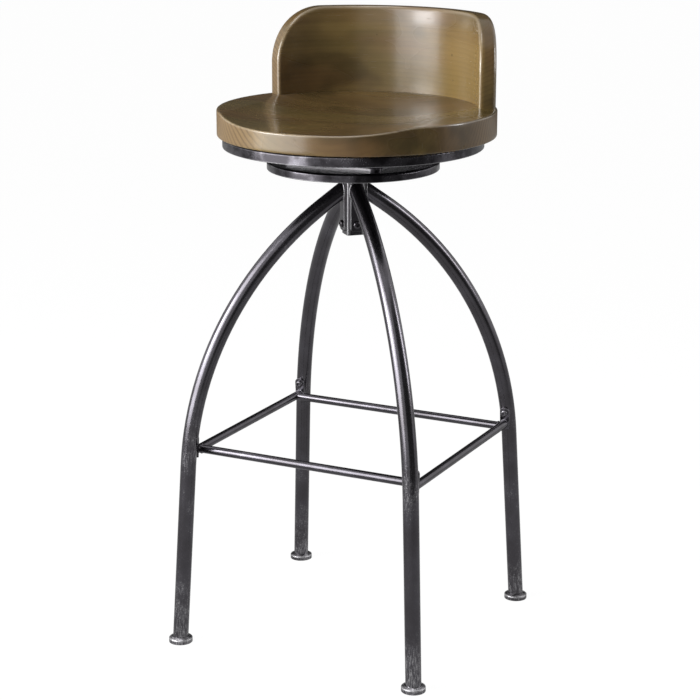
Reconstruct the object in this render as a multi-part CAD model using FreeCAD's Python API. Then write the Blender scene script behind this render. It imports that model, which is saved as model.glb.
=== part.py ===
import FreeCAD, Part
import math
import os

from FreeCAD import Vector

# Bar stool with a scooped wooden seat on a swivel, a low wrap-around back and four bent tube legs.
# Millimetres, +Z up, origin on the floor under the swivel axis. The seat faces -Y.

# Wooden seat board
seat_height = 762.0
seat_diameter = 391.0
seat_thickness = 36.7
seat_setback = 11.0
seat_top_edge_round = 2.5
seat_bottom_edge_round = 2.0
front_dip = 9.5
scoop_depth = 15.0
scoop_half_width = 149.0
scoop_front_narrowing = 11.0
scoop_back_margin = 2.0
scoop_steepness = 3
scoop_deepest_y = -5.0
scoop_grid_step = 20.0

# Wooden backrest
back_height = 124.0
back_thickness = 24.5
back_rim_margin = 2.5
back_half_angle = 68.0
back_corner_radius = 80.0
back_edge_round = 5.5
dowel_diameter = 10.0
dowel_length = 44.0
dowel_depth_in_back = 25.0
dowel_angles = (-44.0, -16.0, 16.0, 44.0)
back_screw_diameter = 5.0
back_screw_length = 70.0
back_screw_head_diameter = 10.0
back_screw_head_height = 3.0
back_screw_recess = 6.0
back_screw_angles = (-55.0, -30.0, 0.0, 30.0, 55.0)

# Pressed steel discs
disc_sheet = 2.5
disc_bend_radius = 3.5
disc_lip_round = 0.8
upper_disc_inset = 13.0
upper_disc_depth = 14.6
lower_disc_diameter = 242.0
lower_disc_depth = 12.0
gap_between_discs = 19.7

# Swivel bearing between the discs
swivel_plate_side = 150.0
swivel_plate_corner = 12.0
swivel_sheet = 3.0
swivel_centre_radius = 50.0
swivel_centre_slope_width = 5.0
ball_diameter = 8.0
ball_circle_radius = 38.0
ball_count = 18
groove_depth = 1.2
cage_thickness = 1.6
cage_width = 18.0
swivel_bolt_spacing = 122.0
swivel_lower_bolt_length = 12.0
swivel_upper_bolt_length = 16.0

# Fasteners: shank diameters and head sizes
pivot_diameter = 8.0
pivot_head_across_flats = 13.0
pivot_head_height = 5.3
pivot_nut_height = 6.5
pivot_thread_over = 0.5
pivot_washer_diameter = 18.0
pivot_washer_thickness = 1.6
bolt_diameter = 6.0
bolt_head_diameter = 10.5
bolt_head_height = 3.3
bolt_head_round = 2.3
bolt_socket_across_flats = 4.0
bolt_socket_depth = 2.0
nut_across_flats = 10.0
nut_height = 5.0
insert_diameter = 9.0
insert_length = 14.0
disc_screw_diameter = 4.5
disc_screw_length = 18.0
disc_screw_head_diameter = 9.0
disc_screw_head_height = 2.8
disc_screw_head_crown = 6.0
disc_screw_from_edge = 32.5
disc_screw_count = 6

# Hub and leg flanges
hub_side = 25.4
hub_wall = 2.0
hub_length = 103.5
flange_width = 18.0
flange_thickness = 4.0
flange_corner_radius = 4.0
flange_edge_round = 0.6
flange_lift = 6.0
flange_top_gap = 2.0
flange_bolt_from_end = 9.5
flange_bolt_length = 12.0

# Legs
leg_diameter = 22.2
leg_wall = 1.5
foot_spacing = 372.0
leg_splay_angle = 3.73
leg_bend_radius = 480.0
leg_top_angle = 54.7
leg_meeting_drop = 28.85

# Feet
foot_diameter = 34.0
foot_side_height = 6.5
foot_height = 8.5
foot_edge_round = 1.2
foot_plug_length = 20.0

# Footrest
rod_diameter = 12.0
footrest_height = 283.6
footrest_cross_inset = 26.5
tab_width = 14.5
tab_thickness = 3.0
tab_above = 25.0
tab_below = 8.0
tab_end_radius = 6.6
tab_edge_round = 0.5
tab_cradle = 0.4
tab_bolt_above = 16.5
tab_bolt_length = 15.0
rivet_nut_diameter = 9.0
rivet_nut_length = 12.0

# Named clearances
fit_clearance = 0.05
bolt_hole_clearance = 0.3
running_clearance = 0.05
pivot_play = 0.1

# Sizes worked out from those above
seat_radius = seat_diameter / 2
seat_bottom_z = seat_height - seat_thickness
seat_centre = Vector(0, seat_setback, 0)
seat_front_y = seat_setback - seat_radius
back_outer_radius = seat_radius - back_rim_margin
back_inner_radius = back_outer_radius - back_thickness
back_middle_radius = back_outer_radius - back_thickness / 2
back_top_z = seat_height + back_height
upper_disc_diameter = seat_diameter - 2 * upper_disc_inset
upper_disc_underside_z = seat_bottom_z - disc_sheet
disc_screw_circle_radius = upper_disc_diameter / 2 - disc_screw_from_edge
lower_disc_top_z = seat_bottom_z - upper_disc_depth - gap_between_discs
lower_disc_underside_z = lower_disc_top_z - disc_sheet
hub_bottom_z = lower_disc_underside_z - hub_length
leg_meeting_z = lower_disc_underside_z - leg_meeting_drop
ball_z = (upper_disc_underside_z + lower_disc_top_z) / 2
ball_radius = ball_diameter / 2
pivot_radius = pivot_diameter / 2
bolt_radius = bolt_diameter / 2
bolt_hole_radius = bolt_radius + bolt_hole_clearance
thread_radius = bolt_radius + fit_clearance
leg_radius = leg_diameter / 2
rod_radius = rod_diameter / 2
flange_face = hub_side / 2 + flange_thickness
foot_reach = foot_spacing / math.sqrt(2)
far = 2 * back_top_z
tiny = 1e-6

origin = Vector(0, 0, 0)
outwards = Vector(1, 0, 0)
backwards = Vector(0, 1, 0)
up = Vector(0, 0, 1)
down = Vector(0, 0, -1)

nodes = {}


def add(name, *pieces):
    """Keep one piece, or one group of like pieces, under its node's name."""
    nodes[name] = pieces[0] if len(pieces) == 1 else Part.makeCompound(list(pieces))


def rod(radius, start, direction, length):
    """A round bar from a point along a direction."""
    return Part.makeCylinder(radius, length, start, direction)


def hole_through(radius, point, direction):
    """A long round cutter both ways along a direction through a point."""
    return rod(radius, point - direction * far, direction, 2 * far)


def around_z(shape, angle):
    """A copy of the shape turned about the swivel axis."""
    turned = shape.copy()
    turned.rotate(origin, up, angle)
    return turned


def shifted(shape, offset):
    """A copy of the shape moved by an offset."""
    moved = shape.copy()
    moved.translate(offset)
    return moved


def placed(shape, point, direction):
    """A shape made along +Z at the origin, moved so that its Z axis points along the direction."""
    moved = shape.copy()
    moved.Placement = FreeCAD.Placement(point, FreeCAD.Rotation(up, direction))
    return moved


def polar(radius, angle, z):
    """A point at a distance from the swivel axis, at an angle in degrees from +X."""
    turn = math.radians(angle)
    return Vector(radius * math.cos(turn), radius * math.sin(turn), z)


def hexagon(across_flats, height, z):
    """An upright hexagonal prism on the Z axis."""
    points = [polar(across_flats / math.sqrt(3), 60 * step, z) for step in range(7)]
    return Part.Face(Part.makePolygon(points)).extrude(up * height)


def turned_profile(points):
    """A solid of revolution about Z from (radius, height) points."""
    outline = [Vector(radius, 0, z) for radius, z in points]
    return Part.Face(Part.makePolygon(outline + outline[:1])).revolve(origin, up, 360)


def rounded_upright_edges(block, radius):
    """A block with its four upright edges rounded."""
    height = block.BoundBox.ZLength
    return block.makeFillet(radius, [edge for edge in block.Edges if edge.BoundBox.ZLength > height / 2])


def button_bolt(length):
    """A button-head bolt: its head stands on z = 0 and its shank reaches down to -length."""
    head = rod(bolt_head_diameter / 2, origin, up, bolt_head_height)
    rim = [edge for edge in head.Edges if edge.BoundBox.ZMin > bolt_head_height - tiny]
    head = head.makeFillet(bolt_head_round, rim)
    socket_floor = bolt_head_height - bolt_socket_depth
    head = head.cut(hexagon(bolt_socket_across_flats, bolt_head_height, socket_floor))
    return head.fuse(rod(bolt_radius, down * length, up, length)).removeSplitter()


def nut(across_flats, height, hole_radius):
    """A hexagonal nut standing on z = 0."""
    return hexagon(across_flats, height, 0).cut(hole_through(hole_radius, origin, up))


def pressed_disc(diameter, depth, top_z):
    """A pressed disc: flat on top, with a rounded shoulder and a rim turned down."""
    outer = rod(diameter / 2, up * (top_z - depth), up, depth)
    shoulder = [edge for edge in outer.Edges if edge.BoundBox.ZMin > top_z - tiny]
    outer = outer.makeFillet(disc_bend_radius, shoulder)
    inner = rod(diameter / 2 - disc_sheet, up * (top_z - depth - 1), up, depth + 1 - disc_sheet)
    corner = [edge for edge in inner.Edges if edge.BoundBox.ZMin > top_z - disc_sheet - tiny]
    inner = inner.makeFillet(disc_bend_radius - disc_sheet / 2, corner)
    disc = outer.cut(inner)
    lip = [edge for edge in disc.Edges if edge.BoundBox.ZMax < top_z - depth + tiny]
    return disc.makeFillet(disc_lip_round, lip)


# Leg path in its own upright plane: a straight run, one long bend and a straight top.
# The bend starts where it brings the line of the straight top onto the swivel axis at the meeting height.
splay = math.radians(leg_splay_angle)
lean = math.radians(leg_top_angle)
leg_line = Vector(-math.sin(splay), 0, math.cos(splay))
bend_rise = leg_bend_radius * (math.sin(lean) - math.sin(splay))
bend_run = leg_bend_radius * (math.cos(splay) - math.cos(lean))
leg_bend_start_z = leg_meeting_z - bend_rise - (foot_reach - bend_run) / math.tan(lean)
leg_bend_start_z /= 1 - math.tan(splay) / math.tan(lean)
bend_start_reach = foot_reach - leg_bend_start_z * math.tan(splay)
bend_centre_reach = bend_start_reach - leg_bend_radius * math.cos(splay)
bend_centre_z = leg_bend_start_z - leg_bend_radius * math.sin(splay)


def on_bend(angle):
    """The point of the leg's bend where the leg leans by the angle, in radians."""
    reach = bend_centre_reach + leg_bend_radius * math.cos(angle)
    return Vector(reach, 0, bend_centre_z + leg_bend_radius * math.sin(angle))


def leg_lean_at(z):
    """The leg's lean from upright at a height on its lower run or its bend, in radians."""
    if z <= leg_bend_start_z:
        return splay
    return math.asin((z - bend_centre_z) / leg_bend_radius)


def leg_reach_at(z):
    """The distance from the swivel axis to the leg's centre line at such a height."""
    if z <= leg_bend_start_z:
        return foot_reach - z * math.tan(splay)
    return on_bend(leg_lean_at(z)).x


def leg_sweep(radius, overrun):
    """A round bar along the leg's path, standing out from the swivel axis along +X."""
    start = Vector(foot_reach, 0, 0) - leg_line * overrun
    bend_from = Vector(bend_start_reach, 0, leg_bend_start_z)
    bend_to = on_bend(lean)
    top = bend_to + Vector(-math.sin(lean), 0, math.cos(lean)) * (bend_to.x / math.sin(lean))
    path = Part.Wire([
        Part.LineSegment(start, bend_from).toShape(),
        Part.Arc(bend_from, on_bend((splay + lean) / 2), bend_to).toShape(),
        Part.LineSegment(bend_to, top).toShape(),
    ])
    ring = Part.Wire([Part.Circle(start, leg_line, radius).toShape()])
    return path.makePipeShell([ring], True, False)


# What stands at the four corners is made at the back right and mirrored to the other three
corners = {"back_right": (1, 1), "back_left": (-1, 1), "front_left": (-1, -1), "front_right": (1, -1)}
corner_turn = 45.0


def left_right(shape):
    """The shape mirrored from side to side."""
    return shape.mirror(origin, outwards)


def front_back(shape):
    """The shape mirrored from back to front."""
    return shape.mirror(origin, backwards)


def at_corner(shape, corner):
    """The back right piece, mirrored to a named corner."""
    side, end = corners[corner]
    shape = shape if side > 0 else left_right(shape)
    return shape if end > 0 else front_back(shape)


def at_all_corners(shape):
    """Copies of the back right piece at the four corners."""
    return [at_corner(shape, corner) for corner in corners]


# Leg tubes stand on their feet and end at the outer face of their flanges
leg_space = Part.makeBox(far, far, seat_height, Vector(flange_face, -far / 2, foot_height))
leg_bar = around_z(leg_sweep(leg_radius, foot_plug_length).common(leg_space), corner_turn)
leg_bore = around_z(leg_sweep(leg_radius - leg_wall, 2 * foot_plug_length), corner_turn)

# Footrest tabs lie along the inner side of the legs, square to the side rods
tab_middle_z = footrest_height + (tab_above - tab_below) / 2
tab_lean = math.atan(math.tan(leg_lean_at(tab_middle_z)) / math.sqrt(2))
rod_x = leg_reach_at(tab_middle_z) / math.sqrt(2)
cross_y = rod_x - footrest_cross_inset
tab_seat = Vector(rod_x, rod_x - leg_radius / math.cos(tab_lean), tab_middle_z)
tab_up = Vector(0, -math.sin(tab_lean), math.cos(tab_lean))
tab_inwards = Vector(0, -math.cos(tab_lean), -math.sin(tab_lean))
tab_placement = FreeCAD.Placement(tab_seat, FreeCAD.Rotation(outwards, tab_up, tab_inwards, "XYZ"))
tab_length = (tab_above + tab_below) / math.cos(tab_lean)
tab_bolt_y = (tab_bolt_above - (tab_above - tab_below) / 2) / math.cos(tab_lean)
tab_bolt_axis = Vector(0, tab_bolt_y, 0)


def on_tab(shape):
    """A shape made flat on z = 0 with +Y along the tab, set on the leg's side facing inwards."""
    moved = shape.copy()
    moved.Placement = tab_placement
    return moved


tab = Part.makeBox(tab_width, tab_length, tab_thickness + tab_cradle,
                   Vector(-tab_width / 2, -tab_length / 2, -tab_cradle))
tab_ends = [edge for edge in tab.Edges if edge.BoundBox.ZLength > tab_thickness / 2]
tab = tab.makeFillet(tab_end_radius, [edge for edge in tab_ends if edge.BoundBox.YMin > 0])
tab_rim = [edge for edge in tab.Edges if edge.BoundBox.ZMin > tab_thickness - tiny]
tab = tab.makeFillet(tab_edge_round, tab_rim)
tab = on_tab(tab.cut(hole_through(bolt_hole_radius, tab_bolt_axis, up))).cut(leg_bar)
nut_hole = rod(rivet_nut_diameter / 2 + fit_clearance, tab_bolt_axis + down * leg_radius, up, leg_diameter)
rivet_nut = rod(rivet_nut_diameter / 2, tab_bolt_axis + down * rivet_nut_length, up, leg_diameter)
rivet_nut = on_tab(rivet_nut.cut(hole_through(thread_radius, tab_bolt_axis, up))).common(leg_bar)
tab_bolt = on_tab(Part.makeCompound([shifted(button_bolt(tab_bolt_length),
                                             tab_bolt_axis + up * tab_thickness)])).Solids[0]
leg = leg_bar.cut(leg_bore).cut(on_tab(nut_hole))
for corner in corners:
    add("leg_" + corner, at_corner(leg, corner))
    add("footrest_tab_" + corner, at_corner(tab, corner))
add("footrest_bolts", *at_all_corners(tab_bolt))
add("footrest_rivet_nuts", *at_all_corners(rivet_nut))

# Footrest rods: the side rods butt against the tabs, the cross rods are shaped to the side rods
beyond_tab = on_tab(Part.makeBox(far, far, far, Vector(-far / 2, -far / 2, tab_thickness - far)))
side_rod = rod(rod_radius, Vector(rod_x, -rod_x, footrest_height), backwards, 2 * rod_x)
side_rod = side_rod.cut(beyond_tab).cut(front_back(beyond_tab))
cross_rod = rod(rod_radius, Vector(-rod_x, cross_y, footrest_height), outwards, 2 * rod_x)
cross_rod = cross_rod.cut(side_rod).cut(left_right(side_rod))
add("footrest_right_rod", side_rod)
add("footrest_left_rod", left_right(side_rod))
add("footrest_back_rod", cross_rod)
add("footrest_front_rod", front_back(cross_rod))

# Feet: a disc with a gently raised top and a plug that fits inside the tube
foot_radius = foot_diameter / 2
foot_disc = rod(foot_radius, origin, up, foot_side_height)
foot_rim = [edge for edge in foot_disc.Edges if edge.BoundBox.ZMin > foot_side_height - tiny]
foot_disc = foot_disc.makeFillet(foot_edge_round, foot_rim)
foot_rise = Part.makeCone(foot_radius - foot_edge_round, leg_radius + foot_edge_round,
                          foot_height - foot_side_height, up * foot_side_height)
foot_centre = outwards * (foot_reach - foot_height * math.tan(splay))
plug = rod(leg_radius - leg_wall - fit_clearance, Vector(foot_reach, 0, 0), leg_line,
           foot_height + foot_plug_length)
above_sole = Part.makeBox(far, far, seat_height, Vector(0, -far / 2, foot_side_height / 2))
foot = shifted(foot_disc.fuse(foot_rise), foot_centre).fuse(plug.common(above_sole)).removeSplitter()
for corner in corners:
    add("foot_" + corner, at_corner(around_z(foot, corner_turn), corner))

# Hub: a square tube with its corners to the front, back and sides, welded under the lower disc
hub_inside = hub_side - 2 * hub_wall
hub = Part.makeBox(hub_side, hub_side, hub_length, Vector(-hub_side / 2, -hub_side / 2, hub_bottom_z))
hub = rounded_upright_edges(hub, hub_wall)
hub = hub.cut(Part.makeBox(hub_inside, hub_inside, 2 * hub_length,
                           Vector(-hub_inside / 2, -hub_inside / 2, hub_bottom_z - 1)))

# Leg flanges: a plate on each face of the hub, held by a screw above the leg and one below it
flange_bottom_z = hub_bottom_z + flange_lift
flange_top_z = lower_disc_underside_z - flange_top_gap
flange = Part.makeBox(flange_thickness, flange_width, flange_top_z - flange_bottom_z,
                      Vector(hub_side / 2, -flange_width / 2, flange_bottom_z))
flange_edges = [edge for edge in flange.Edges if edge.BoundBox.XLength > flange_thickness / 2]
flange = flange.makeFillet(flange_corner_radius, flange_edges)
flange = flange.makeFillet(flange_edge_round,
                           [edge for edge in flange.Edges if edge.BoundBox.XMin > flange_face - tiny])
weld_nut = around_z(nut(nut_across_flats, nut_height, thread_radius), 30)
flange_bolts = []
hub_nuts = []
for z in (flange_bottom_z + flange_bolt_from_end, flange_top_z - flange_bolt_from_end):
    hole = hole_through(bolt_hole_radius, up * z, outwards)
    flange = flange.cut(hole)
    hub = hub.cut(hole).cut(around_z(hole, 90))
    flange_bolt = placed(button_bolt(flange_bolt_length), Vector(flange_face, 0, z), outwards)
    flange_bolts += at_all_corners(around_z(flange_bolt, corner_turn))
    hub_nut = placed(weld_nut, Vector(hub_inside / 2 - nut_height, 0, z), outwards)
    hub_nuts += at_all_corners(around_z(hub_nut, corner_turn))
for corner in corners:
    add("leg_flange_" + corner, at_corner(around_z(flange, corner_turn), corner))
add("hub_tube", around_z(hub, corner_turn))
add("flange_bolts", *flange_bolts)
add("hub_weld_nuts", *hub_nuts)

# Swivel plates: two stamped squares with raised round centres that face each other
race_z = ball_z - ball_radius + groove_depth
plate_z = lower_disc_top_z
plate_top_z = plate_z + swivel_sheet
slope_foot = swivel_centre_radius + swivel_centre_slope_width
raised_centre = turned_profile([
    (pivot_radius + running_clearance, race_z),
    (swivel_centre_radius, race_z),
    (slope_foot, plate_top_z),
    (slope_foot + 2 * swivel_sheet, plate_top_z),
    (slope_foot + 2 * swivel_sheet, plate_z),
    (slope_foot - swivel_sheet, plate_z),
    (swivel_centre_radius - swivel_sheet, race_z - swivel_sheet),
    (pivot_radius + running_clearance, race_z - swivel_sheet),
])
square = Part.makeBox(swivel_plate_side, swivel_plate_side, swivel_sheet,
                      Vector(-swivel_plate_side / 2, -swivel_plate_side / 2, plate_z))
square = rounded_upright_edges(square, swivel_plate_corner).cut(hole_through(slope_foot, origin, up))
race = Part.makeTorus(ball_circle_radius, ball_radius + running_clearance, up * ball_z, up)
swivel_plate = square.fuse(raised_centre).removeSplitter().cut(race)
swivel_bolt_places = [Vector(side, end, 0) * (swivel_bolt_spacing / 2) for side, end in corners.values()]
for place in swivel_bolt_places:
    swivel_plate = swivel_plate.cut(hole_through(bolt_hole_radius, place, up))
add("swivel_lower_plate", swivel_plate)
add("swivel_upper_plate", swivel_plate.mirror(up * ball_z, up))

# Balls and their cage
cage_outer = rod(ball_circle_radius + cage_width / 2, up * (ball_z - cage_thickness / 2), up, cage_thickness)
cage = cage_outer.cut(hole_through(ball_circle_radius - cage_width / 2, origin, up))
balls = []
for step in range(ball_count):
    ball_at = polar(ball_circle_radius, 360.0 * step / ball_count, ball_z)
    balls.append(Part.makeSphere(ball_radius, ball_at))
    cage = cage.cut(hole_through(ball_radius + running_clearance, ball_at, up))
add("bearing_balls", *balls)
add("ball_cage", cage)

# Pivot bolt through both swivel plates: head below, washer and lock nut above
pivot_seat_z = race_z - swivel_sheet
washer_z = 2 * ball_z - pivot_seat_z + pivot_play
pivot_nut_z = washer_z + pivot_washer_thickness
pivot_end_z = pivot_nut_z + pivot_nut_height + pivot_thread_over
pivot = hexagon(pivot_head_across_flats, pivot_head_height, pivot_seat_z - pivot_head_height)
pivot = pivot.fuse(rod(pivot_radius, up * pivot_seat_z, up, pivot_end_z - pivot_seat_z))
washer = rod(pivot_washer_diameter / 2, up * washer_z, up, pivot_washer_thickness)
add("pivot_bolt", pivot)
add("pivot_washer", washer.cut(hole_through(pivot_radius + fit_clearance, origin, up)))
pivot_nut = nut(pivot_head_across_flats, pivot_nut_height, pivot_radius + fit_clearance)
add("pivot_lock_nut", shifted(pivot_nut, up * pivot_nut_z))

# Lower disc, with the screws and nuts that hold the lower swivel plate to it
lower_disc = pressed_disc(lower_disc_diameter, lower_disc_depth, lower_disc_top_z)
lower_bolts = []
lower_nuts = []
for place in swivel_bolt_places:
    lower_disc = lower_disc.cut(hole_through(bolt_hole_radius, place, up))
    lower_bolts.append(shifted(button_bolt(swivel_lower_bolt_length), place + up * plate_top_z))
    lower_nut = nut(nut_across_flats, nut_height, thread_radius)
    lower_nuts.append(shifted(lower_nut, place + up * (lower_disc_underside_z - nut_height)))
add("lower_disc", lower_disc)
add("swivel_lower_bolts", *lower_bolts)
add("swivel_lower_nuts", *lower_nuts)

# Seat board: a round board, scooped from the backrest to the front rim
board = rod(seat_radius, seat_centre + up * seat_bottom_z, up, seat_thickness)
top_rim = [edge for edge in board.Edges if edge.BoundBox.ZMin > seat_height - tiny]
board = board.makeFillet(seat_top_edge_round, top_rim)
bottom_rim = [edge for edge in board.Edges if edge.BoundBox.ZMax < seat_bottom_z + tiny]
board = board.makeFillet(seat_bottom_edge_round, bottom_rim)
scoop_back_radius = back_inner_radius - scoop_back_margin
back_end_y = seat_setback + back_inner_radius * math.cos(math.radians(back_half_angle))


def scoop_depth_at(x, y):
    """How deep the scoop lies under the board's flat top, negative outside the scoop."""
    forward = max(0.0, (scoop_deepest_y - y) / (scoop_deepest_y - seat_front_y))
    floor = scoop_depth - (scoop_depth - front_dip) * forward ** 2
    widening = min(1.0, max(0.0, y / back_end_y))
    widening = widening ** 2 * (3 - 2 * widening)
    width = scoop_half_width + (scoop_back_radius - scoop_half_width) * widening
    width -= scoop_front_narrowing * (min(0.0, y) / seat_front_y) ** 2
    reach = math.hypot(x, max(0.0, y - seat_setback))
    return floor * (1 - (reach / width) ** scoop_steepness)


grid_half = math.ceil((seat_radius + seat_setback) / scoop_grid_step) + 1
grid = [step * scoop_grid_step for step in range(-grid_half, grid_half + 1)]
scoop = Part.BSplineSurface()
scoop.interpolate([[Vector(x, y, seat_height - scoop_depth_at(x, y)) for y in grid] for x in grid])
board = board.cut(scoop.toShape().extrude(up * seat_height))

# Upper disc, with the screws into inserts in the wood and its own wood screws
upper_disc = pressed_disc(upper_disc_diameter, upper_disc_depth, seat_bottom_z)
upper_bolts = []
inserts = []
for place in swivel_bolt_places:
    upper_disc = upper_disc.cut(hole_through(bolt_hole_radius, place, up))
    plate_face = place + up * (upper_disc_underside_z - swivel_sheet)
    upper_bolts.append(placed(button_bolt(swivel_upper_bolt_length), plate_face, down))
    insert_at = place + up * seat_bottom_z
    board = board.cut(rod(insert_diameter / 2 + fit_clearance, insert_at, up, insert_length))
    insert = rod(insert_diameter / 2, insert_at, up, insert_length)
    inserts.append(insert.cut(hole_through(thread_radius, place, up)))
disc_screws = []
for step in range(disc_screw_count):
    screw_angle = 360.0 * (step + 0.5) / disc_screw_count
    screw_at = polar(disc_screw_circle_radius, screw_angle, upper_disc_underside_z)
    screw_head = Part.makeCone(disc_screw_head_diameter / 2, disc_screw_head_crown / 2,
                               disc_screw_head_height, screw_at, down)
    disc_screws.append(screw_head.fuse(rod(disc_screw_diameter / 2, screw_at, up, disc_screw_length)))
    screw_hole = rod(disc_screw_diameter / 2 + fit_clearance, screw_at, up, disc_screw_length)
    upper_disc = upper_disc.cut(screw_hole)
    board = board.cut(screw_hole)
add("upper_disc", upper_disc)
add("swivel_upper_bolts", *upper_bolts)
add("seat_inserts", *inserts)
add("upper_disc_screws", *disc_screws)

# Backrest: an upright curved wall, its ends cut straight through with rounded upper corners
corner_half_turn = back_corner_radius / back_middle_radius / 2
end_offset = back_middle_radius * math.sin(corner_half_turn)
end_turn = math.degrees(corner_half_turn) - back_half_angle
overshoot = math.degrees(2 * back_thickness / back_middle_radius)
wall_face = Part.Face(Part.makePolygon([
    Vector(back_inner_radius, 0, seat_height),
    Vector(back_outer_radius, 0, seat_height),
    Vector(back_outer_radius, 0, back_top_z),
    Vector(back_inner_radius, 0, back_top_z),
    Vector(back_inner_radius, 0, seat_height),
]))
wall_span = 2 * (back_half_angle + overshoot)
wall = around_z(wall_face.revolve(origin, up, wall_span), 90 - wall_span / 2)
corner_low_z = back_top_z - back_corner_radius
corner_axis = Vector(0, end_offset - back_corner_radius, corner_low_z)
trim = Part.makeBox(far, far, 2 * back_height, Vector(0, corner_axis.y, seat_height - back_height / 2))
trim = trim.cut(Part.makeBox(far, back_corner_radius, corner_low_z, Vector(0, corner_axis.y, 0)))
trim = trim.cut(rod(back_corner_radius, corner_axis, outwards, far))
left_trim = around_z(trim, 90 - end_turn)
wall = wall.cut(left_trim).cut(left_right(left_trim))
wall_edges = [edge for edge in wall.Edges if edge.BoundBox.ZMax > seat_height + tiny]
backrest = shifted(wall.makeFillet(back_edge_round, wall_edges), seat_centre)

# Dowels and long screws between the seat board and the backrest
dowel_bottom_z = seat_height + dowel_depth_in_back - dowel_length
dowels = []
for angle in dowel_angles:
    dowel_at = seat_centre + polar(back_middle_radius, 90 + angle, dowel_bottom_z)
    dowels.append(rod(dowel_diameter / 2, dowel_at, up, dowel_length))
    dowel_hole = rod(dowel_diameter / 2 + fit_clearance, dowel_at, up, dowel_length)
    board = board.cut(dowel_hole)
    backrest = backrest.cut(dowel_hole)
back_screws = []
for angle in back_screw_angles:
    screw_at = seat_centre + polar(back_middle_radius, 90 + angle, seat_bottom_z + back_screw_recess)
    screw_head = Part.makeCone(back_screw_diameter / 2, back_screw_head_diameter / 2,
                               back_screw_head_height, screw_at, down)
    back_screws.append(screw_head.fuse(rod(back_screw_diameter / 2, screw_at, up, back_screw_length)))
    screw_hole = rod(back_screw_diameter / 2 + fit_clearance, screw_at, up, back_screw_length)
    recess = rod(back_screw_head_diameter / 2 + fit_clearance, screw_at, down, back_screw_recess)
    board = board.cut(screw_hole).cut(recess)
    backrest = backrest.cut(screw_hole)
add("seat_board", board)
add("backrest", backrest)
add("backrest_dowels", *dowels)
add("backrest_screws", *back_screws)

os.makedirs("parts", exist_ok=True)
for name, shape in nodes.items():
    shape.exportStep("parts/" + name + ".step")
    print(name, len(shape.Solids), "solids", round(shape.Volume / 1000, 2), "cm3", shape.isValid())
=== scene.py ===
import math

import bpy
from mathutils import Matrix, Vector


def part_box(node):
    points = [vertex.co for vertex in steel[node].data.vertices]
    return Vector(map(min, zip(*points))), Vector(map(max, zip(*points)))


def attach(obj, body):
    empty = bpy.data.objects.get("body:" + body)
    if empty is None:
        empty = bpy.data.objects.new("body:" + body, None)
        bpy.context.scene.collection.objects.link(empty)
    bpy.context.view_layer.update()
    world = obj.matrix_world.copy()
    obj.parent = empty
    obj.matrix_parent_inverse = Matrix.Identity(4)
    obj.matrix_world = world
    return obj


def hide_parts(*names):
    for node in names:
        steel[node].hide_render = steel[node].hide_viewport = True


# Bar stool with a scooped wooden seat, a low wrap-around back and blackened steel legs, in metres.

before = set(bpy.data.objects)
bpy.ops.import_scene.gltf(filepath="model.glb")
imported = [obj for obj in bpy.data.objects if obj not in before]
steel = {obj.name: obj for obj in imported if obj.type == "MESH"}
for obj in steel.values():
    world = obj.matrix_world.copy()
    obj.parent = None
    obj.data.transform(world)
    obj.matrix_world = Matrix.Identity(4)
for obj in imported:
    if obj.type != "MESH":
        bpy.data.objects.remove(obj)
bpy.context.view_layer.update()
mm = 0.001

# Camera: where it stands, which way it looks and how much it takes in
camera_place = (1.2186, -2.4394, 1.1628)
camera_azimuth = 26.636
camera_pitch_down = 15.347
camera_roll = 0.05
camera_lens_mm = 101.35
sensor_width_mm = 36.0

# Seat board, repeated from the solids
seat_low, seat_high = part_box("seat_board")
seat_radius = (seat_high.x - seat_low.x) / 2
seat_setback = (seat_low.y + seat_high.y) / 2
seat_front_y = seat_setback - seat_radius
seat_top = seat_high.z
seat_bottom = seat_low.z
top_edge_round = 2.5 * mm
bottom_edge_round = 2.0 * mm
front_dip = 9.5 * mm
scoop_depth = 15.0 * mm
scoop_half_width = 149.0 * mm
scoop_front_narrowing = 11.0 * mm
scoop_steepness = 3
scoop_deepest_y = -5.0 * mm
back_inner_radius = 168.5 * mm
back_half_angle = math.radians(68.0)
scoop_back_radius = 166.5 * mm
back_end_y = seat_setback + back_inner_radius * math.cos(back_half_angle)
back_screw_circle = 180.75 * mm
back_screw_angles = (-55.0, -30.0, 0.0, 30.0, 55.0)
screw_recess_radius = 5.05 * mm
screw_recess_depth = 6.0 * mm

# Backrest, repeated from the solids
back_height = 124.0 * mm
back_thickness = 24.5 * mm
back_middle_radius = back_inner_radius + back_thickness / 2
back_corner_radius = 80.0 * mm
back_edge_round = 5.5 * mm
back_end_turn = back_half_angle - back_corner_radius / back_middle_radius / 2
back_end_reach = back_middle_radius * math.sin(back_half_angle - back_end_turn)

# Welds, repeated from the solids where they sit
leg_radius = 11.1 * mm
leg_top_angle = math.radians(54.7)
flange_face = 16.7 * mm
upper_disc_depth = 14.6 * mm
gap_between_discs = 19.7 * mm
disc_sheet = 2.5 * mm
meeting_under_disc = 28.85 * mm
leg_meeting_z = seat_bottom - upper_disc_depth - gap_between_discs - disc_sheet - meeting_under_disc
leg_bead = 1.7 * mm
leg_bead_ripples = 26
leg_bead_fading = 0.55
rod_bead = 1.1 * mm
rod_bead_ripples = 16
side_rod_end_sink = 1.0 * mm
cross_rod_end_sink = 1.2 * mm


def nothing_selected():
    """Back to object mode with nothing selected."""
    if bpy.context.object and bpy.context.object.mode != "OBJECT":
        bpy.ops.object.mode_set(mode="OBJECT")
    bpy.ops.object.select_all(action="DESELECT")


def new_piece(name):
    """Names the object that an operator has just added."""
    piece = bpy.context.object
    piece.name = name
    piece.data.name = name
    return piece


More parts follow.
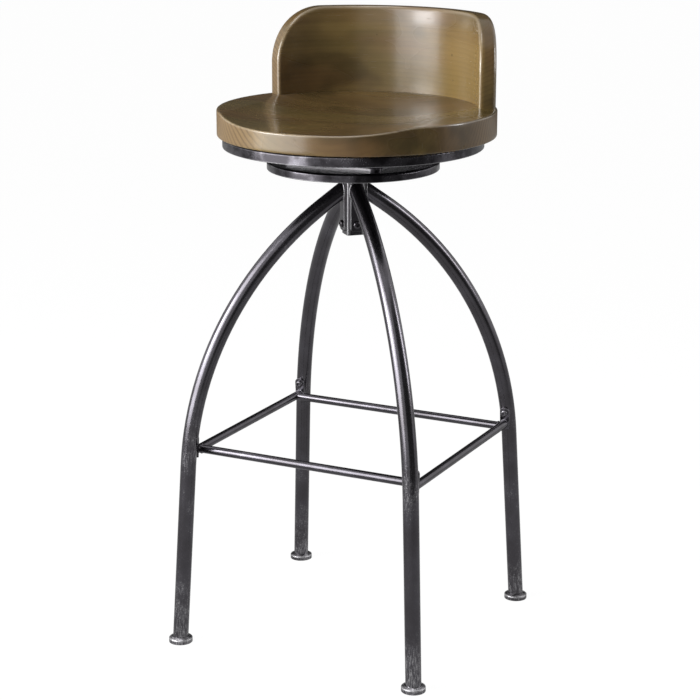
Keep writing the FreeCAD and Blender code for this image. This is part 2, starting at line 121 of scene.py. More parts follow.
def set_in_place(piece):
    """Puts a piece's place, turn and size into its mesh."""
    nothing_selected()
    piece.select_set(True)
    bpy.context.view_layer.objects.active = piece
    bpy.ops.object.transform_apply(location=True, rotation=True, scale=True)


def finished(piece, body, slot, material, *stands_for):
    """Gives a piece its finish, its body and the nodes that it stands for."""
    piece.data.materials.clear()
    piece.data.materials.append(material)
    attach(piece, body)
    if stands_for:
        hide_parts(*stands_for)
    return piece


# Shader maths

class Signal:
    """A number that varies over a surface. Arithmetic on it adds Math nodes to its finish."""

    def __init__(self, finish, socket):
        self.finish = finish
        self.socket = socket

    def maths(self, operation, first, second=0.0):
        return self.finish.node("ShaderNodeMath", {"operation": operation}, {0: first, 1: second})

    def __add__(self, other):
        return self.maths("ADD", self, other)

    def __radd__(self, other):
        return self.maths("ADD", other, self)

    def __sub__(self, other):
        return self.maths("SUBTRACT", self, other)

    def __rsub__(self, other):
        return self.maths("SUBTRACT", other, self)

    def __mul__(self, other):
        return self.maths("MULTIPLY", self, other)

    def __rmul__(self, other):
        return self.maths("MULTIPLY", other, self)

    def __truediv__(self, other):
        return self.maths("DIVIDE", self, other)

    def __pow__(self, other):
        return self.maths("POWER", self, other)

    def __abs__(self):
        return self.maths("ABSOLUTE", self)


class Finish:
    """The nodes of a material or of the world, in the making."""

    def __init__(self, owner):
        self.owner = owner
        self.owner.use_nodes = True
        self.tree = self.owner.node_tree
        self.tree.nodes.clear()

    def node(self, kind, settings=None, inputs=None, output=0):
        """Adds a node: its settings come first, then what goes into its sockets."""
        made = self.tree.nodes.new(kind)
        for key, value in (settings or {}).items():
            setattr(made, key, value)
        for key, value in (inputs or {}).items():
            socket = made.inputs[key]
            if isinstance(value, Signal):
                self.tree.links.new(value.socket, socket)
            elif isinstance(value, tuple) and socket.type == "RGBA":
                socket.default_value = (*value, 1.0)
            else:
                socket.default_value = value
        return Signal(self, made.outputs[output])

    def step(self, value, low, high):
        """0 below low and 1 above high, with a smooth change between them."""
        settings = {"interpolation_type": "SMOOTHSTEP"}
        return self.node("ShaderNodeMapRange", settings, {"Value": value, "From Min": low, "From Max": high})

    def noise(self, vector, scale, detail, roughness=0.55, distortion=0.0):
        inputs = {"Vector": vector, "Scale": scale, "Detail": detail}
        inputs.update({"Roughness": roughness, "Distortion": distortion})
        return self.node("ShaderNodeTexNoise", None, inputs)

    def vector(self, x, y, z):
        return self.node("ShaderNodeCombineXYZ", None, {0: x, 1: y, 2: z})

    def mixed(self, first, second, factor):
        """One colour turning into another."""
        return self.node("ShaderNodeMix", {"data_type": "RGBA"}, {0: factor, 6: first, 7: second}, 2)

    def place(self):
        """Where a point of the surface lies, as a vector and as its x, y and z."""
        here = self.node("ShaderNodeTexCoord", None, None, "Object")
        return here, *[self.node("ShaderNodeSeparateXYZ", None, {0: here}, axis) for axis in range(3)]

    def facing(self, direction):
        """How much the surface faces a direction or its opposite."""
        normal = self.node("ShaderNodeTexCoord", None, None, "Normal")
        settings = {"operation": "DOT_PRODUCT"}
        return abs(self.node("ShaderNodeVectorMath", settings, {0: normal, 1: direction}, 1))

    def bump(self, height, distance):
        return self.node("ShaderNodeBump", None, {"Height": height, "Distance": distance, "Strength": 1.0})

    def ends_in(self, shader, kind="ShaderNodeOutputMaterial"):
        """Links the last shader to the output, and gives back what owns the nodes."""
        output = self.tree.nodes.new(kind)
        self.tree.links.new(shader.socket, output.inputs[0])
        return self.owner

    def surface(self, **sockets):
        """The shader and the output, which finish the material."""
        inputs = {name.replace("_", " "): value for name, value in sockets.items()}
        return self.ends_in(self.node("ShaderNodeBsdfPrincipled", None, inputs))


def new_finish(name):
    return Finish(bpy.data.materials.new(name))


# Wood: brown-olive stain over broad boards, glossy lacquer on top

dark_stain = (0.036, 0.025, 0.008)
olive_stain = (0.118, 0.083, 0.028)
brown_stain = (0.122, 0.070, 0.027)
golden_wood = (0.275, 0.180, 0.062)
end_grain_pale = (0.160, 0.102, 0.045)
end_grain_dark = (0.086, 0.051, 0.021)
knot_brown = (0.040, 0.026, 0.010)
# Paler wood on rubbed edges; it also paints part of the edges' highlight.
rubbed_wood_and_highlight = (0.34, 0.26, 0.155)
board_width = 66 * mm
ring_spacing = 6.2 * mm
heart_aside = 450 * mm
heart_above = 220 * mm
heart_wander = 20 * mm
lacquer_bump = 0.035 * mm


def wood(name, grain_place, end_grain, knots, painted_light_patch):
    """Stained and lacquered wood. grain_place gives along, across and depth, in metres."""
    finish = new_finish(name)
    along, across, depth = grain_place(finish)
    board = finish.node("ShaderNodeMath", {"operation": "FLOOR"}, {0: across / board_width + 0.35})
    tone = finish.node("ShaderNodeTexWhiteNoise", {"noise_dimensions": "1D"}, {"W": board + 3.7})
    wander = finish.noise(finish.vector(along * 2.2 + tone * 9, across * 5, depth * 5), 2.0, 2.0)
    heart = across + heart_aside + (wander - 0.5) * heart_wander
    lift = depth - heart_above
    ring_radius = finish.node("ShaderNodeMath", {"operation": "SQRT"}, {0: heart * heart + lift * lift})
    ring = finish.node("ShaderNodeMath", {"operation": "FRACT"}, {0: ring_radius / ring_spacing})
    late = finish.step(ring, 0.35, 0.92) - finish.step(ring, 0.92, 1.0)
    streak = finish.noise(finish.vector(along * 2.0, across * 90, depth * 20), 1.0, 3.0, 0.5)
    fibre = finish.noise(finish.vector(along * 14, across * 420, depth * 60), 1.0, 3.0, 0.6)
    stain = finish.noise(finish.vector(along * 3.2, across * 11, depth * 11), 1.0, 2.0, 0.5, 0.3)
    cloud = finish.noise(finish.vector(along * 9, across * 16, depth * 14), 1.0, 2.0, 0.45)
    pore_row = finish.noise(finish.vector(along * 40, across * 700, depth * 120), 1.0, 2.0, 0.5)
    pores = finish.step(pore_row, 0.67, 0.75)
    ends = end_grain(finish)
    body = finish.mixed(olive_stain, brown_stain, finish.step(stain, 0.36, 0.64))
    body = finish.mixed(body, dark_stain, finish.step(streak + (tone - 0.5) * 0.10, 0.46, 0.80) * 0.30)
    body = finish.mixed(body, golden_wood, finish.step(streak, 0.50, 0.26) * 0.14)
    body = finish.mixed(body, dark_stain, finish.step(cloud, 0.50, 0.68) * 0.60)
    body = finish.mixed(body, golden_wood, finish.step(cloud, 0.46, 0.26) * 0.28)
    # Painted light: a paler golden patch where the front-left lamp falls.
    body = finish.mixed(body, golden_wood, painted_light_patch(finish) * (0.35 + 0.5 * cloud))
    body = finish.mixed(body, dark_stain, late * 0.10 + pores * 0.25)
    end_face = finish.mixed(end_grain_pale, end_grain_dark, finish.step(late, 0.20, 0.95))
    body = finish.mixed(body, end_face, ends)
    body = finish.mixed(body, knot_brown, knots(finish, along, across) * 0.75)
    # Edges and the seat's ridge are painted paler: partly rubbed wear, partly painted highlight.
    rub_and_highlight = finish.node("ShaderNodeAttribute", {"attribute_name": "rub"}, None, "Fac")
    rubbed = rub_and_highlight * finish.step(fibre + streak, 0.70, 1.10)
    body = finish.mixed(body, rubbed_wood_and_highlight, rubbed * 0.35)
    relief = fibre * 0.3 + streak * 0.7 - pores
    rough = 0.27 + (stain - 0.5) * 0.16 + pores * 0.2 + ends * 0.12
    return finish.surface(
        Base_Color=body, Roughness=rough, Specular_IOR_Level=0.42,
        Coat_Weight=0.22 - ends * 0.12 + rub_and_highlight * 0.6, Coat_Roughness=0.16,
        Normal=finish.bump(relief, lacquer_bump))


seat_grain_turn = math.radians(12.0)
end_grain_turn = math.radians(32.0)
end_grain_direction = (-math.cos(end_grain_turn), -math.sin(end_grain_turn), 0.0)


def along_the_seat(finish):
    """The seat board's boards run from side to side."""
    here, x, y, z = finish.place()
    along = x * math.cos(seat_grain_turn) + y * math.sin(seat_grain_turn)
    across = y * math.cos(seat_grain_turn) - x * math.sin(seat_grain_turn)
    return along, across, z - seat_bottom


def seat_ends(finish):
    """The seat's rim shows end grain on its left and its right."""
    return finish.step(finish.facing(end_grain_direction), 0.66, 0.84) * 0.85


def no_knots(finish, along, across):
    return 0.0


def front_rim_painted_light(finish):
    """Painted light: the front left of the seat, which faces the front-left lamp, is painted paler golden."""
    here, x, y, z = finish.place()
    return finish.step(y, -100 * mm, -170 * mm) * finish.step(x, 40 * mm, -60 * mm) * 0.25


def round_the_back(finish):
    """The backrest's boards are bent round the seat."""
    here, x, y, z = finish.place()
    turn = finish.node("ShaderNodeMath", {"operation": "ARCTAN2"}, {0: x, 1: y - seat_setback})
    out = finish.node("ShaderNodeMath", {"operation": "SQRT"}, {0: x * x + (y - seat_setback) ** 2})
    return turn * back_middle_radius, z - seat_top, out - back_inner_radius


back_end_aside = 0.595
back_end_forward = 0.804


def back_end_grain_and_painted_shade(finish):
    """The backrest's two ends show end grain; the right end gets less of its pale colour, as painted shade
    for the end that faces away from the lamps.
    """
    left = finish.facing((-back_end_aside, -back_end_forward, 0.0))
    right = finish.facing((back_end_aside, -back_end_forward, 0.0))
    here, x, y, z = finish.place()
    side = finish.step(x, -20 * mm, 20 * mm)
    return finish.step(left * (1 - side) + right * side, 0.72, 0.98) * (0.65 - 0.45 * side)


back_knots = (
    (86.5 * mm, 61 * mm, 2.4 * mm),
    (90 * mm, 25 * mm, 1.5 * mm),
    (-52 * mm, 83 * mm, 1.6 * mm),
)


def knots_in_the_back(finish, along, across):
    """Small dark knots, each a place on the laid-out wall and a radius."""
    total = 0.0
    for knot_along, knot_height, radius in back_knots:
        away = ((along - knot_along) ** 2 + (across - knot_height) ** 2) ** 0.5
        total = total + finish.step(away, radius, radius * 0.5) * 0.8
    return total


def right_half_painted_light(finish):
    """Painted light: the right half of the back's inner face, which faces the front-left lamp, is painted
    paler golden.
    """
    along, across, depth = round_the_back(finish)
    inner_face = finish.step(depth, 10 * mm, 4 * mm)
    return finish.step(along, 0.0, 110 * mm) * finish.step(across, 118 * mm, 70 * mm) * inner_face


# Blackened steel with the black rubbed through

def no_edges(x, y, z, finish):
    return 0.0


flange_rub_from = 7.9 * mm
flange_rub_full = 8.8 * mm


def flange_edges(x, y, z, finish):
    """The long edges of the four leg flanges and the corners of the hub."""
    across = abs(abs(x) - abs(y)) / math.sqrt(2)
    return finish.step(across, flange_rub_from, flange_rub_full) * 0.7


foot_disc_radius = 17 * mm


def foot_edges(x, y, z, finish):
    """The upper edges of the four feet."""
    foot_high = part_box("foot_back_right")[1]
    disc_middle = foot_high.x - foot_disc_radius
    away = ((abs(x) - disc_middle) ** 2 + (abs(y) - disc_middle) ** 2) ** 0.5
    near_rim = finish.step(away, foot_disc_radius - 2.4 * mm, foot_disc_radius - 1.4 * mm)
    return near_rim * finish.step(z, 3.5 * mm, 5.5 * mm) * 0.8


def disc_lips(x, y, z, finish):
    """The lower lips of the two discs."""
    upper_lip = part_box("upper_disc")[0].z
    lower_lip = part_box("lower_disc")[0].z
    upper = finish.step(z, upper_lip + 1.6 * mm, upper_lip + 0.5 * mm)
    lower = finish.step(z, lower_lip + 1.6 * mm, lower_lip + 0.5 * mm)
    return (upper * finish.step(z, upper_lip - 3 * mm, upper_lip - 1 * mm) + lower) * 0.5


deep_black = (0.032, 0.030, 0.034)
black = (0.082, 0.077, 0.084)
pale_black = (0.115, 0.110, 0.124)
bare_steel = (0.50, 0.495, 0.51)
steel_bump = 0.05 * mm


def blackened_steel(name, rub, patch_size, gloss, edges=no_edges, blotches=0.0):
    """Black over bare steel, rubbed in patches, with more of it near the feet and the footrest."""
    finish = new_finish(name)
    here, x, y, z = finish.place()
    patches = finish.noise(here, 1 / patch_size, 4.0, 0.6)
    speckle = finish.noise(here, 420, 4.0, 0.7)
    scratch = finish.noise(finish.vector(x * 700, y * 700, z * 90), 1.0, 3.0, 0.6)
    feet = 1 - finish.step(z, 10 * mm, 120 * mm)
    footrest = finish.step(z, 240 * mm, 285 * mm) - finish.step(z, 300 * mm, 360 * mm)
    lower_half = 1 - finish.step(z, 220 * mm, 400 * mm)
    amount = rub + feet * 0.16 + footrest * 0.10 + lower_half * 0.05
    wear = finish.step(patches * 0.55 + speckle * 0.5 + amount, 0.78, 1.06)
    wear = wear * finish.step(scratch, 0.42, 0.62)
    wear = finish.node("ShaderNodeClamp", None, {0: wear + edges(x, y, z, finish) * (0.3 + speckle)})
    colour = finish.mixed(black, pale_black, finish.step(patches, 0.3, 0.7))
    colour = finish.mixed(colour, deep_black, finish.step(patches, 0.60, 0.42) * blotches)
    colour = finish.mixed(colour, bare_steel, wear)
    rough = gloss + (speckle - 0.5) * 0.25 + wear * 0.10
    relief = speckle * 0.6 + patches * 0.5
    return finish.surface(
        Base_Color=colour, Metallic=1.0, Roughness=rough,
        Normal=finish.bump(relief, steel_bump))


def plated_steel(name, tone, gloss):
    """Bright plate, slightly mottled."""
    finish = new_finish(name)
    here, x, y, z = finish.place()
    mottle = finish.noise(here, 160, 3.0, 0.6)
    colour = finish.mixed((tone * 0.75, tone * 0.76, tone * 0.78), (tone, tone, tone * 1.02), mottle)
    return finish.surface(
        Base_Color=colour, Metallic=1.0, Roughness=gloss + (mottle - 0.5) * 0.2,
        Normal=finish.bump(mottle, 0.03 * mm))


# Seat board: rings drawn outwards from the middle, over the rim and down to the underside

def scoop_at(x, y):
    """How deep the scoop lies under the board's flat top, negative outside the scoop."""
    forward = max(0.0, (scoop_deepest_y - y) / (scoop_deepest_y - seat_front_y))
    floor = scoop_depth - (scoop_depth - front_dip) * forward ** 2
    widening = min(1.0, max(0.0, y / back_end_y))
    widening = widening ** 2 * (3 - 2 * widening)
    width = scoop_half_width + (scoop_back_radius - scoop_half_width) * widening
    width -= scoop_front_narrowing * (min(0.0, y) / seat_front_y) ** 2
    reach = math.hypot(x, max(0.0, y - seat_setback))
    return floor * (1 - (reach / width) ** scoop_steepness)


seat_sectors = 288
ridge_softness = 0.7 * mm
flat_radius = seat_radius - top_edge_round
inner_rings = [step / 46 for step in range(1, 47)]
ridge_rings = [0.35, 0.7, 1.05, 1.5]
outer_rings = [step / 9 for step in range(1, 10)]
top_edge_rings = 6
side_rings = 6
bottom_edge_rings = 5
underside_rings = (0.9, 0.6, 0.3)
smooth_below = math.radians(40)


def ridge_reach(angle):
    """How far from the seat's centre the scoop ends in a direction, kept inside the rim."""
    low, high = 0.0, flat_radius - 0.3 * mm
    for halving in range(30):
        middle = (low + high) / 2
        if scoop_at(middle * math.cos(angle), seat_setback + middle * math.sin(angle)) > 0:
            low = middle
        else:
            high = middle
    return low


def carved_seat():
    """The whole seat board, which stands for its solid."""
    nothing_selected()
    start = 1 / (len(inner_rings) + 1)
    bpy.ops.mesh.primitive_circle_add(vertices=seat_sectors, radius=flat_radius * start, fill_type="TRIFAN",
                                      location=(0, seat_setback, seat_top))
    piece = new_piece("carved_seat")
    set_in_place(piece)
    bpy.ops.object.mode_set(mode="EDIT")
    bpy.ops.mesh.select_mode(type="EDGE")
    bpy.ops.mesh.select_all(action="SELECT")
    bpy.ops.mesh.region_to_loop()
    centre = (0, seat_setback, seat_top)
    reach = flat_radius * start

    def next_ring(new_reach, drop=0.0):
        nonlocal reach
        bpy.ops.mesh.extrude_edges_move()
        scale = new_reach / reach
        bpy.ops.transform.resize(value=(scale, scale, 1), center_override=centre)
        bpy.ops.transform.translate(value=(0, 0, -drop))
        reach = new_reach

    plan = top_plan()
    for fraction in plan[1:]:
        next_ring(flat_radius * fraction)
    level = 0.0
    for step in range(1, top_edge_rings + 1):
        turn = math.pi / 2 * step / top_edge_rings
        drop = top_edge_round * (1 - math.cos(turn))
        next_ring(flat_radius + top_edge_round * math.sin(turn), drop - level)
        level = drop
    side_end = seat_top - seat_bottom - bottom_edge_round
    for step in range(1, side_rings + 1):
        drop = top_edge_round + (side_end - top_edge_round) * step / side_rings
        next_ring(seat_radius, drop - level)
        level = drop
    for step in range(1, bottom_edge_rings + 1):
        turn = math.pi / 2 * step / bottom_edge_rings
        drop = side_end + bottom_edge_round * math.sin(turn)
        next_ring(seat_radius - bottom_edge_round * (1 - math.cos(turn)), drop - level)
        level = drop
    for fraction in underside_rings:
        next_ring(seat_radius * fraction)
    bpy.ops.mesh.edge_face_add()
    bpy.ops.mesh.select_all(action="SELECT")
    bpy.ops.mesh.normals_make_consistent(inside=False)
    bpy.ops.object.mode_set(mode="OBJECT")
    hollow_out(piece)
    drill_screw_recesses(piece)
    nothing_selected()
    piece.select_set(True)
    bpy.context.view_layer.objects.active = piece
    bpy.ops.object.shade_smooth_by_angle(angle=smooth_below)
    return piece


def top_plan():
    """The rings of the seat's top as shares of its flat radius, before they are drawn to the ridge."""
    count = len(inner_rings) + 2 * len(ridge_rings) + len(outer_rings)
    return [step / count for step in range(1, count + 1)]


def ring_reach(index, ridge):
    """Where a ring of the top goes in a direction whose ridge is that far out."""
    beyond = index - len(inner_rings)
    before = len(ridge_rings)
    inner_end = ridge - ridge_rings[-1] * mm
    outer_start = ridge + ridge_rings[-1] * mm * min(1.0, (flat_radius - ridge) / (4 * mm))
    if beyond < 0:
        return inner_end * inner_rings[index]
    if beyond < before:
        return ridge - ridge_rings[before - 1 - beyond] * mm * (1 if beyond else 0.98)
    if beyond < 2 * before:
        return ridge + (outer_start - ridge) * ridge_rings[beyond - before] / ridge_rings[-1]
    return outer_start + (flat_radius - outer_start) * outer_rings[beyond - 2 * before]


def hollow_out(piece):
    """Draws the rings to the ridge, sinks the scoop and marks the edges rubbed paler, which also paints part
    of their highlight.
    """
    plan = top_plan()
    rub = piece.data.attributes.new("rub", "FLOAT", "POINT")
    side_height = seat_top - seat_bottom - bottom_edge_round
    ridges = {}
    for vertex in piece.data.vertices:
        x, y = vertex.co.x, vertex.co.y - seat_setback
        reach = math.hypot(x, y)
        if reach < 1e-6:
            vertex.co.z -= scoop_at(0, seat_setback)
            continue
        angle = math.atan2(y, x)
        sector = round(angle / (2 * math.pi) * seat_sectors)
        if sector not in ridges:
            ridges[sector] = ridge_reach(angle)
        ridge = ridges[sector]
        drop = seat_top - vertex.co.z
        if drop < 1e-6 and reach < flat_radius + 1e-6:
            index = round(reach / flat_radius * len(plan)) - 1
            moved = ring_reach(index, ridge)
            vertex.co.x *= moved / reach
            vertex.co.y = seat_setback + y * moved / reach
            depth = scoop_at(vertex.co.x, vertex.co.y)
            vertex.co.z -= (depth + math.hypot(depth, ridge_softness)) / 2
            near_ridge = max(0.0, 1 - abs(moved - ridge) / (1.2 * mm))
            near_rim = max(0.0, 1 - (flat_radius - moved) / (1.5 * mm))
            rub.data[vertex.index].value = max(0.8 * near_ridge * (ridge < flat_radius - 2 * mm), near_rim)
        elif drop < side_height + 1e-6:
            rim_x, rim_y = x / reach * flat_radius, seat_setback + y / reach * flat_radius
            depth = scoop_at(rim_x, rim_y)
            depth = (depth + math.hypot(depth, ridge_softness)) / 2
            share = 1 - max(0.0, drop - top_edge_round) / (side_height - top_edge_round)
            vertex.co.z -= depth * share
            rub.data[vertex.index].value = 1.0 if drop < top_edge_round * 0.9 else 0.0


def drill_screw_recesses(piece):
    """Sinks the recesses for the long screws into the underside."""
    drills = []
    for angle in back_screw_angles:
        turn = math.radians(90 + angle)
        nothing_selected()
        bpy.ops.mesh.primitive_cylinder_add(
            vertices=32, radius=screw_recess_radius, depth=2 * screw_recess_depth,
            location=(back_screw_circle * math.cos(turn), seat_setback + back_screw_circle * math.sin(turn),
                      seat_bottom))
        drill = new_piece("drill")
        set_in_place(drill)
        drills.append(drill)
    for drill in drills:
        cut = piece.modifiers.new("recess", "BOOLEAN")
        cut.object = drill
        cut.operation = "DIFFERENCE"
        nothing_selected()
        piece.select_set(True)
        bpy.context.view_layer.objects.active = piece
        bpy.ops.object.modifier_apply(modifier=cut.name)
        bpy.data.objects.remove(drill)


# Backrest: a flat sheet of rows and columns, wrapped over the wall's inner face, rim and outer face

back_lean_height = 26.0 * mm
back_lean_depth = 2.2 * mm
back_columns = 189
face_rows = 26
round_rows = 8
rim_rows = 4


def outline_point(share):
    """A point of the backrest's outline laid flat, with the direction that faces out of it there."""
    corner_reach = back_end_reach - back_corner_radius
    corner_middle = back_middle_radius * (back_end_turn + math.asin(corner_reach / back_middle_radius))
    corner_height = back_height - back_corner_radius
    quarter = back_corner_radius * math.pi / 2
    run = (corner_height + quarter + corner_middle) * abs(2 * share - 1)
    side = -1 if share < 0.5 else 1
    if run < corner_middle:
        return side * run, back_height, 0.0, 1.0
    if run < corner_middle + quarter:
        turn = (run - corner_middle) / back_corner_radius
        out, rise = math.sin(turn), math.cos(turn)
        return (side * (corner_middle + back_corner_radius * out), corner_height + back_corner_radius * rise,
                side * out, rise)
    return (side * (corner_middle + back_corner_radius), corner_height - (run - corner_middle - quarter),
            float(side), 0.0)


def on_the_wall(along, height, radius):
    """A point of the laid-out wall, bent round the seat at a radius. The ends are cut straight through."""
    corner_reach = back_end_reach - back_corner_radius
    corner_middle = back_middle_radius * (back_end_turn + math.asin(corner_reach / back_middle_radius))
    corner_turn = back_end_turn + math.asin(corner_reach / radius)
    if abs(along) < corner_middle:
        turn = along / corner_middle * corner_turn
    else:
        turn = back_end_turn + math.asin((corner_reach + abs(along) - corner_middle) / radius)
        turn = math.copysign(turn, along)
    return Vector((radius * math.sin(turn), seat_setback + radius * math.cos(turn), seat_top + height))


def wall_rows():
    """The rows of the sheet: share of the face covered, distance in from the outline, radius, and rubbing,
    which also paints part of the rounded edges' highlight.
    """
    outer_radius = back_inner_radius + back_thickness
    rows = [((step / face_rows) ** 0.8, back_edge_round, 0.0, 0.0) for step in range(face_rows)]
    for step in range(round_rows + 1):
        turn = math.pi / 2 * step / round_rows
        rows.append((1.0, back_edge_round * (1 - math.sin(turn)), back_edge_round * (1 - math.cos(turn)),
                     math.sin(2 * turn)))
    inner = [(face, inset, back_inner_radius + deep, rub) for face, inset, deep, rub in rows]
    outer = [(face, inset, outer_radius - deep, rub) for face, inset, deep, rub in reversed(rows)]
    first, last = inner[-1][2], outer[0][2]
    rim = [(1.0, 0.0, first + (last - first) * step / rim_rows, 0.0) for step in range(1, rim_rows)]
    return inner + rim + outer


def bent_backrest():
    """The whole backrest, which stands for its solid."""
    rows = wall_rows()
    nothing_selected()
    bpy.ops.mesh.primitive_grid_add(x_subdivisions=back_columns - 1, y_subdivisions=len(rows) - 1, size=2)
    piece = new_piece("bent_backrest")
    rub = piece.data.attributes.new("rub", "FLOAT", "POINT")
    for vertex in piece.data.vertices:
        column = round((vertex.co.x + 1) / 2 * (back_columns - 1))
        face, inset, radius, rubbed = rows[round((vertex.co.y + 1) / 2 * (len(rows) - 1))]
        along, height, out, rise = outline_point(column / (back_columns - 1))
        height = face * (height - inset * rise)
        lean = max(0.0, 1 - (back_height - back_edge_round - height) / back_lean_height)
        inwards = max(0.0, 1 - (radius - back_inner_radius) / back_edge_round)
        radius += back_lean_depth * lean ** 2 * inwards
        vertex.co = on_the_wall(face * (along - inset * out), height, radius)
        rub.data[vertex.index].value = rubbed
    bpy.ops.object.mode_set(mode="EDIT")
    bpy.ops.mesh.select_mode(type="EDGE")
    bpy.ops.mesh.select_all(action="SELECT")
    bpy.ops.mesh.remove_doubles(threshold=0.01 * mm)
    bpy.ops.mesh.select_all(action="DESELECT")
    bpy.ops.mesh.select_non_manifold()
    bpy.ops.mesh.edge_face_add()
    bpy.ops.mesh.select_all(action="SELECT")
    bpy.ops.mesh.normals_make_consistent(inside=False)
    bpy.ops.object.mode_set(mode="OBJECT")
    bpy.ops.object.shade_smooth_by_angle(angle=smooth_below)
    return piece


# Weld beads, with the ripples that the torch leaves

torus_thickness = 0.25


def weld_bead(name, place, outwards, across, upright, thickness, ripples, fading=0.0):
    """An oval bead lying on a plane that faces outwards. fading thins it at its two sides."""
    nothing_selected()
    bpy.ops.mesh.primitive_torus_add(major_segments=4 * ripples, minor_segments=10, major_radius=1,
                                     minor_radius=torus_thickness)
    piece = new_piece(name)
    sideways = Vector((0, 0, 1)).cross(outwards).normalized()
    up_the_plane = outwards.cross(sideways)
    for vertex in piece.data.vertices:
        x, y, z = vertex.co
        ring = math.hypot(x, y)
        cosine, sine = x / ring, y / ring
        swell = thickness / torus_thickness * (1 + 0.16 * math.cos(ripples * math.atan2(y, x)))
        swell *= 1 - fading * cosine ** 6
        out = (ring - 1) * swell
        vertex.co = (place + sideways * cosine * (across + out) + up_the_plane * sine * (upright + out)
                     + outwards * z * swell)
    bpy.ops.object.mode_set(mode="EDIT")
    bpy.ops.mesh.select_all(action="SELECT")
    bpy.ops.mesh.normals_make_consistent(inside=False)
    bpy.ops.object.mode_set(mode="OBJECT")
    bpy.ops.object.shade_smooth()
    return piece


def joined(name, pieces):
    """Makes one piece of several."""
    nothing_selected()
    for piece in pieces:
        piece.select_set(True)
    bpy.context.view_layer.objects.active = pieces[0]
    bpy.ops.object.join()
    return new_piece(name)


def leg_welds():
    """The beads round the four leg ends on their flanges."""
    beads = []
    for turn in (45, 135, 225, 315):
        outwards = Vector((math.cos(math.radians(turn)), math.sin(math.radians(turn)), 0))
        height = leg_meeting_z - flange_face / math.tan(leg_top_angle)
        place = outwards * flange_face + Vector((0, 0, height))
        beads.append(weld_bead("bead", place, outwards, leg_radius, leg_radius / math.sin(leg_top_angle),
                               leg_bead, leg_bead_ripples, leg_bead_fading))
    return joined("leg_welds", beads)


def footrest_welds():
    """The beads where the footrest's side rods meet the tabs and its cross rods meet the side rods."""
    beads = []
    left_low, left_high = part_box("footrest_left_rod")
    right_low, right_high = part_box("footrest_right_rod")
    back_low, back_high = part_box("footrest_back_rod")
    front_low, front_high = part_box("footrest_front_rod")
    rod_radius = (left_high.x - left_low.x) / 2
    height = (left_low.z + left_high.z) / 2
    for rod_low, rod_high in ((left_low, left_high), (right_low, right_high)):
        middle = (rod_low.x + rod_high.x) / 2
        for end_y, outwards in ((rod_low.y + side_rod_end_sink, 1), (rod_high.y - side_rod_end_sink, -1)):
            beads.append(weld_bead("bead", Vector((middle, end_y, height)), Vector((0, outwards, 0)),
                                   rod_radius, rod_radius, rod_bead, rod_bead_ripples))
    for rod_low, rod_high in ((back_low, back_high), (front_low, front_high)):
        middle = (rod_low.y + rod_high.y) / 2
        for end_x, outwards in ((left_high.x, 1), (right_low.x, -1)):
            place = Vector((end_x - cross_rod_end_sink * outwards, middle, height))
            beads.append(weld_bead("bead", place, Vector((outwards, 0, 0)), rod_radius, rod_radius,
                                   rod_bead, rod_bead_ripples))
    return joined("footrest_welds", beads)


# Finishes
seat_wood = wood("stained_seat_wood", along_the_seat, seat_ends, no_knots, front_rim_painted_light)
back_wood = wood("stained_back_wood", round_the_back, back_end_grain_and_painted_shade, knots_in_the_back, right_half_painted_light)
leg_black = blackened_steel("leg_black", rub=0.18, patch_size=0.06, gloss=0.22)
foot_black = blackened_steel("foot_black", rub=0.18, patch_size=0.03, gloss=0.30, edges=foot_edges)
rod_black = blackened_steel("rod_black", rub=0.06, patch_size=0.04, gloss=0.22)
disc_black = blackened_steel("disc_black", rub=0.20, patch_size=0.035, gloss=0.24, edges=disc_lips,
                             blotches=0.9)
hub_black = blackened_steel("hub_black", rub=0.14, patch_size=0.03, gloss=0.30, edges=flange_edges)
screw_black = blackened_steel("screw_black", rub=0.20, patch_size=0.02, gloss=0.28)
zinc = plated_steel("zinc", 0.55, 0.32)
ball_steel = plated_steel("ball_steel", 0.8, 0.12)

node_finishes = {
    "leg_": leg_black,
    "leg_flange_": hub_black,
    "foot_": foot_black,
    "footrest_": rod_black,
    "footrest_bolts": screw_black,
    "footrest_rivet_nuts": zinc,
    "hub_tube": hub_black,
    "flange_bolts": screw_black,
    "hub_weld_nuts": zinc,
    "upper_disc": disc_black,
    "upper_disc_screws": screw_black,
    "lower_disc": disc_black,
    # Painted shade: the swivel plates are zinc, but get the hub's black so that the gap between the discs is
    # dark.
    "swivel_": hub_black,
    "pivot_": zinc,
    "ball_cage": zinc,
    "bearing_balls": ball_steel,
    "seat_": zinc,
    "backrest": back_wood,
    "backrest_dowels": back_wood,
    "backrest_screws": zinc,
}


def finish_for(node):
    """The finish with the longest name that the node's name starts with."""
    fitting = [start for start in node_finishes if node.startswith(start)]
    return node_finishes[max(fitting, key=len)]


for name, piece in steel.items():
    piece.data.materials.clear()
    piece.data.materials.append(finish_for(name))

finished(carved_seat(), "seat", "stained_wood", seat_wood, "seat_board")
finished(bent_backrest(), "seat", "stained_wood", back_wood, "backrest")
finished(leg_welds(), "frame", "dark_steel", hub_black)
finished(footrest_welds(), "frame", "dark_steel", rod_black)


# Studio: pale floor, white surroundings, soft lamps

def seen_directly(finish):
    """1 for what the camera, a reflection or a see-through part looks at, 0 for lighting."""
    camera = finish.node("ShaderNodeLightPath", None, None, "Is Camera Ray")
    glossy = finish.node("ShaderNodeLightPath", None, None, "Is Glossy Ray")
    through = finish.node("ShaderNodeLightPath", None, None, "Is Transmission Ray")
    return finish.node("ShaderNodeClamp", None, {0: camera + glossy + through})


